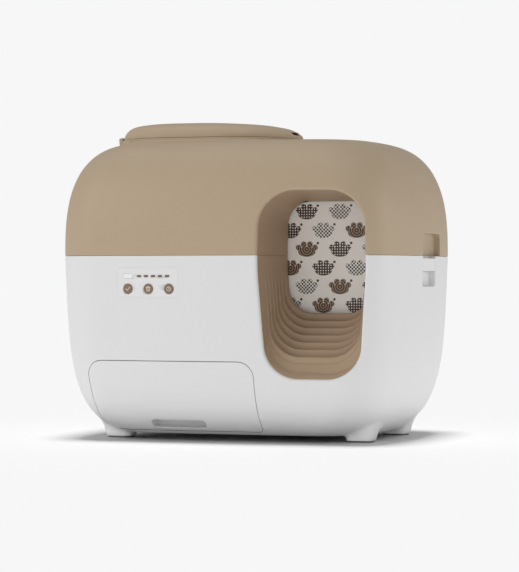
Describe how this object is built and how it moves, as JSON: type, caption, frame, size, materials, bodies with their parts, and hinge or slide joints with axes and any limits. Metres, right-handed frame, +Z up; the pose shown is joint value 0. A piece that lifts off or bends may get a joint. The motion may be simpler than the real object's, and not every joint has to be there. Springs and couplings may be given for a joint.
{
  "type": "self-cleaning cat litter box",
  "caption": "Hooded self-cleaning cat litter box with a stepped front entry, swing flap, turning drum, waste drawer, lift-up lid and lift-off hood.",
  "frame": {"origin": "on the floor, under the middle of the box", "axes": "+Z up; the front with the entry faces -Y; +X to the right seen from the front"},
  "size_m": [0.631, 0.494, 0.5562],
  "materials": {
    "shell_white": "satin moulded plastic",
    "shell_taupe": "satin moulded plastic",
    "liner_taupe": "satin moulded plastic",
    "flap_print": "printed satin sheet",
    "panel_white": "satin plastic inlay",
    "button_brown": "satin plastic",
    "level_brown": "printed mark",
    "light_white": "frosted light window",
    "pad_grey": "soft non-slip rubber",
    "drum_grey": "moulded plastic",
    "liner_grey": "soft non-stick liner",
    "gear_white": "acetal",
    "frame_grey": "moulded plastic",
    "steel": "turned steel",
    "motor_metal": "zinc-plated can",
    "board_green": "circuit board",
    "black_plastic": "matt",
    "carbon_black": "carbon fleece",
    "sensor_dark": "infrared window"
  },
  "bodies": {
    "base": {"base_shell": "shell_white", "bottom_cover": "shell_white", "cover_screws": "steel", "foot_pads": "pad_grey", "weight_sensors": "steel", "drawer_rails": "frame_grey", "entry_steps": "liner_taupe", "corridor_floor": "frame_grey", "seam_gasket": "pad_grey", "control_panel": "panel_white", "status_light": "light_white", "level_bars": "level_brown", "control_board": "board_green", "power_inlet": "black_plastic", "latch_pins": "steel", "drum_cradle": "frame_grey", "drum_bushing": "gear_white", "roller_axles": "steel", "drive_motor": "motor_metal", "motor_screws": "steel"},
    "hood": {"hood_shell": "shell_taupe", "lid_hinge_rod": "steel", "entry_surround": "liner_taupe", "entry_sensor": "sensor_dark"},
    "lid": {"lid_shell": "shell_taupe", "lid_inner": "frame_grey", "lid_screws": "steel", "carbon_filter": "carbon_black"},
    "flap": {"flap_panel": "flap_print", "flap_rod": "steel"},
    "drawer": {"drawer_front": "shell_white", "drawer_handle_pocket": "shell_white", "drawer_tray": "frame_grey"},
    "drum": {"drum_shell": "drum_grey", "drum_axle": "gear_white", "drum_mouth_ring": "frame_grey", "ring_gear": "gear_white", "drum_liner": "liner_grey", "litter_sieve": "drum_grey"},
    "pinion": {"drive_pinion": "gear_white"},
    "front_roller": {"roller_front": "liner_grey"},
    "rear_roller": {"roller_rear": "liner_grey"},
    "left_latch": {"latch_left": "shell_white"},
    "right_latch": {"latch_right": "shell_white"},
    "clean_button": {"button_clean": "button_brown"},
    "empty_button": {"button_empty": "button_brown"},
    "menu_button": {"button_menu": "button_brown"}
  },
  "joints": [
    {"name": "hood_lift", "type": "slide", "parent": "base", "child": "hood", "axis": [0, 0, 1], "range_m": [0, 0.3]},
    {"name": "lid_hinge", "type": "hinge", "parent": "hood", "child": "lid", "pos_m": [-0.249, 0, 0.5295], "axis": [0, -1, 0], "range_deg": [0, 95]},
    {"name": "flap_swing", "type": "hinge", "parent": "hood", "child": "flap", "pos_m": [0.1713, -0.108, 0.424], "axis": [1, 0, 0], "range_deg": [0, 80]},
    {"name": "drawer_slide", "type": "slide", "parent": "base", "child": "drawer", "axis": [0, -1, 0], "range_m": [0, 0.3]},
    {"name": "drum_spin", "type": "hinge", "parent": "base", "child": "drum", "pos_m": [0, 0, 0.33], "axis": [1, 0, 0], "continuous": true},
    {"name": "pinion_spin", "type": "hinge", "parent": "base", "child": "pinion", "pos_m": [0, 0.15367, 0.20106], "axis": [1, 0, 0], "continuous": true},
    {"name": "front_roller_spin", "type": "hinge", "parent": "base", "child": "front_roller", "pos_m": [-0.022, -0.10399, 0.18149], "axis": [1, 0, 0], "continuous": true},
    {"name": "rear_roller_spin", "type": "hinge", "parent": "base", "child": "rear_roller", "pos_m": [-0.022, 0.10399, 0.18149], "axis": [1, 0, 0], "continuous": true},
    {"name": "left_latch_pull", "type": "hinge", "parent": "base", "child": "left_latch", "pos_m": [-0.3085, -0.0035, 0.311], "axis": [0, 1, 0], "range_deg": [0, 12], "stiffness_Nm_per_rad": 0.4},
    {"name": "right_latch_pull", "type": "hinge", "parent": "base", "child": "right_latch", "pos_m": [0.3085, -0.0035, 0.311], "axis": [0, -1, 0], "range_deg": [0, 12], "stiffness_Nm_per_rad": 0.4},
    {"name": "clean_button_press", "type": "slide", "parent": "base", "child": "clean_button", "axis": [0, 1, 0], "range_m": [0, 0.001], "stiffness_N_per_m": 600},
    {"name": "empty_button_press", "type": "slide", "parent": "base", "child": "empty_button", "axis": [0, 1, 0], "range_m": [0, 0.001], "stiffness_N_per_m": 600},
    {"name": "menu_button_press", "type": "slide", "parent": "base", "child": "menu_button", "axis": [0, 1, 0], "range_m": [0, 0.001], "stiffness_N_per_m": 600}
  ],
  "couplings": [
    {"joint": "pinion_spin", "follows": "drum_spin", "ratio": -6.1429},
    {"joint": "front_roller_spin", "follows": "drum_spin", "ratio": -10.312},
    {"joint": "rear_roller_spin", "follows": "drum_spin", "ratio": -10.312}
  ]
}
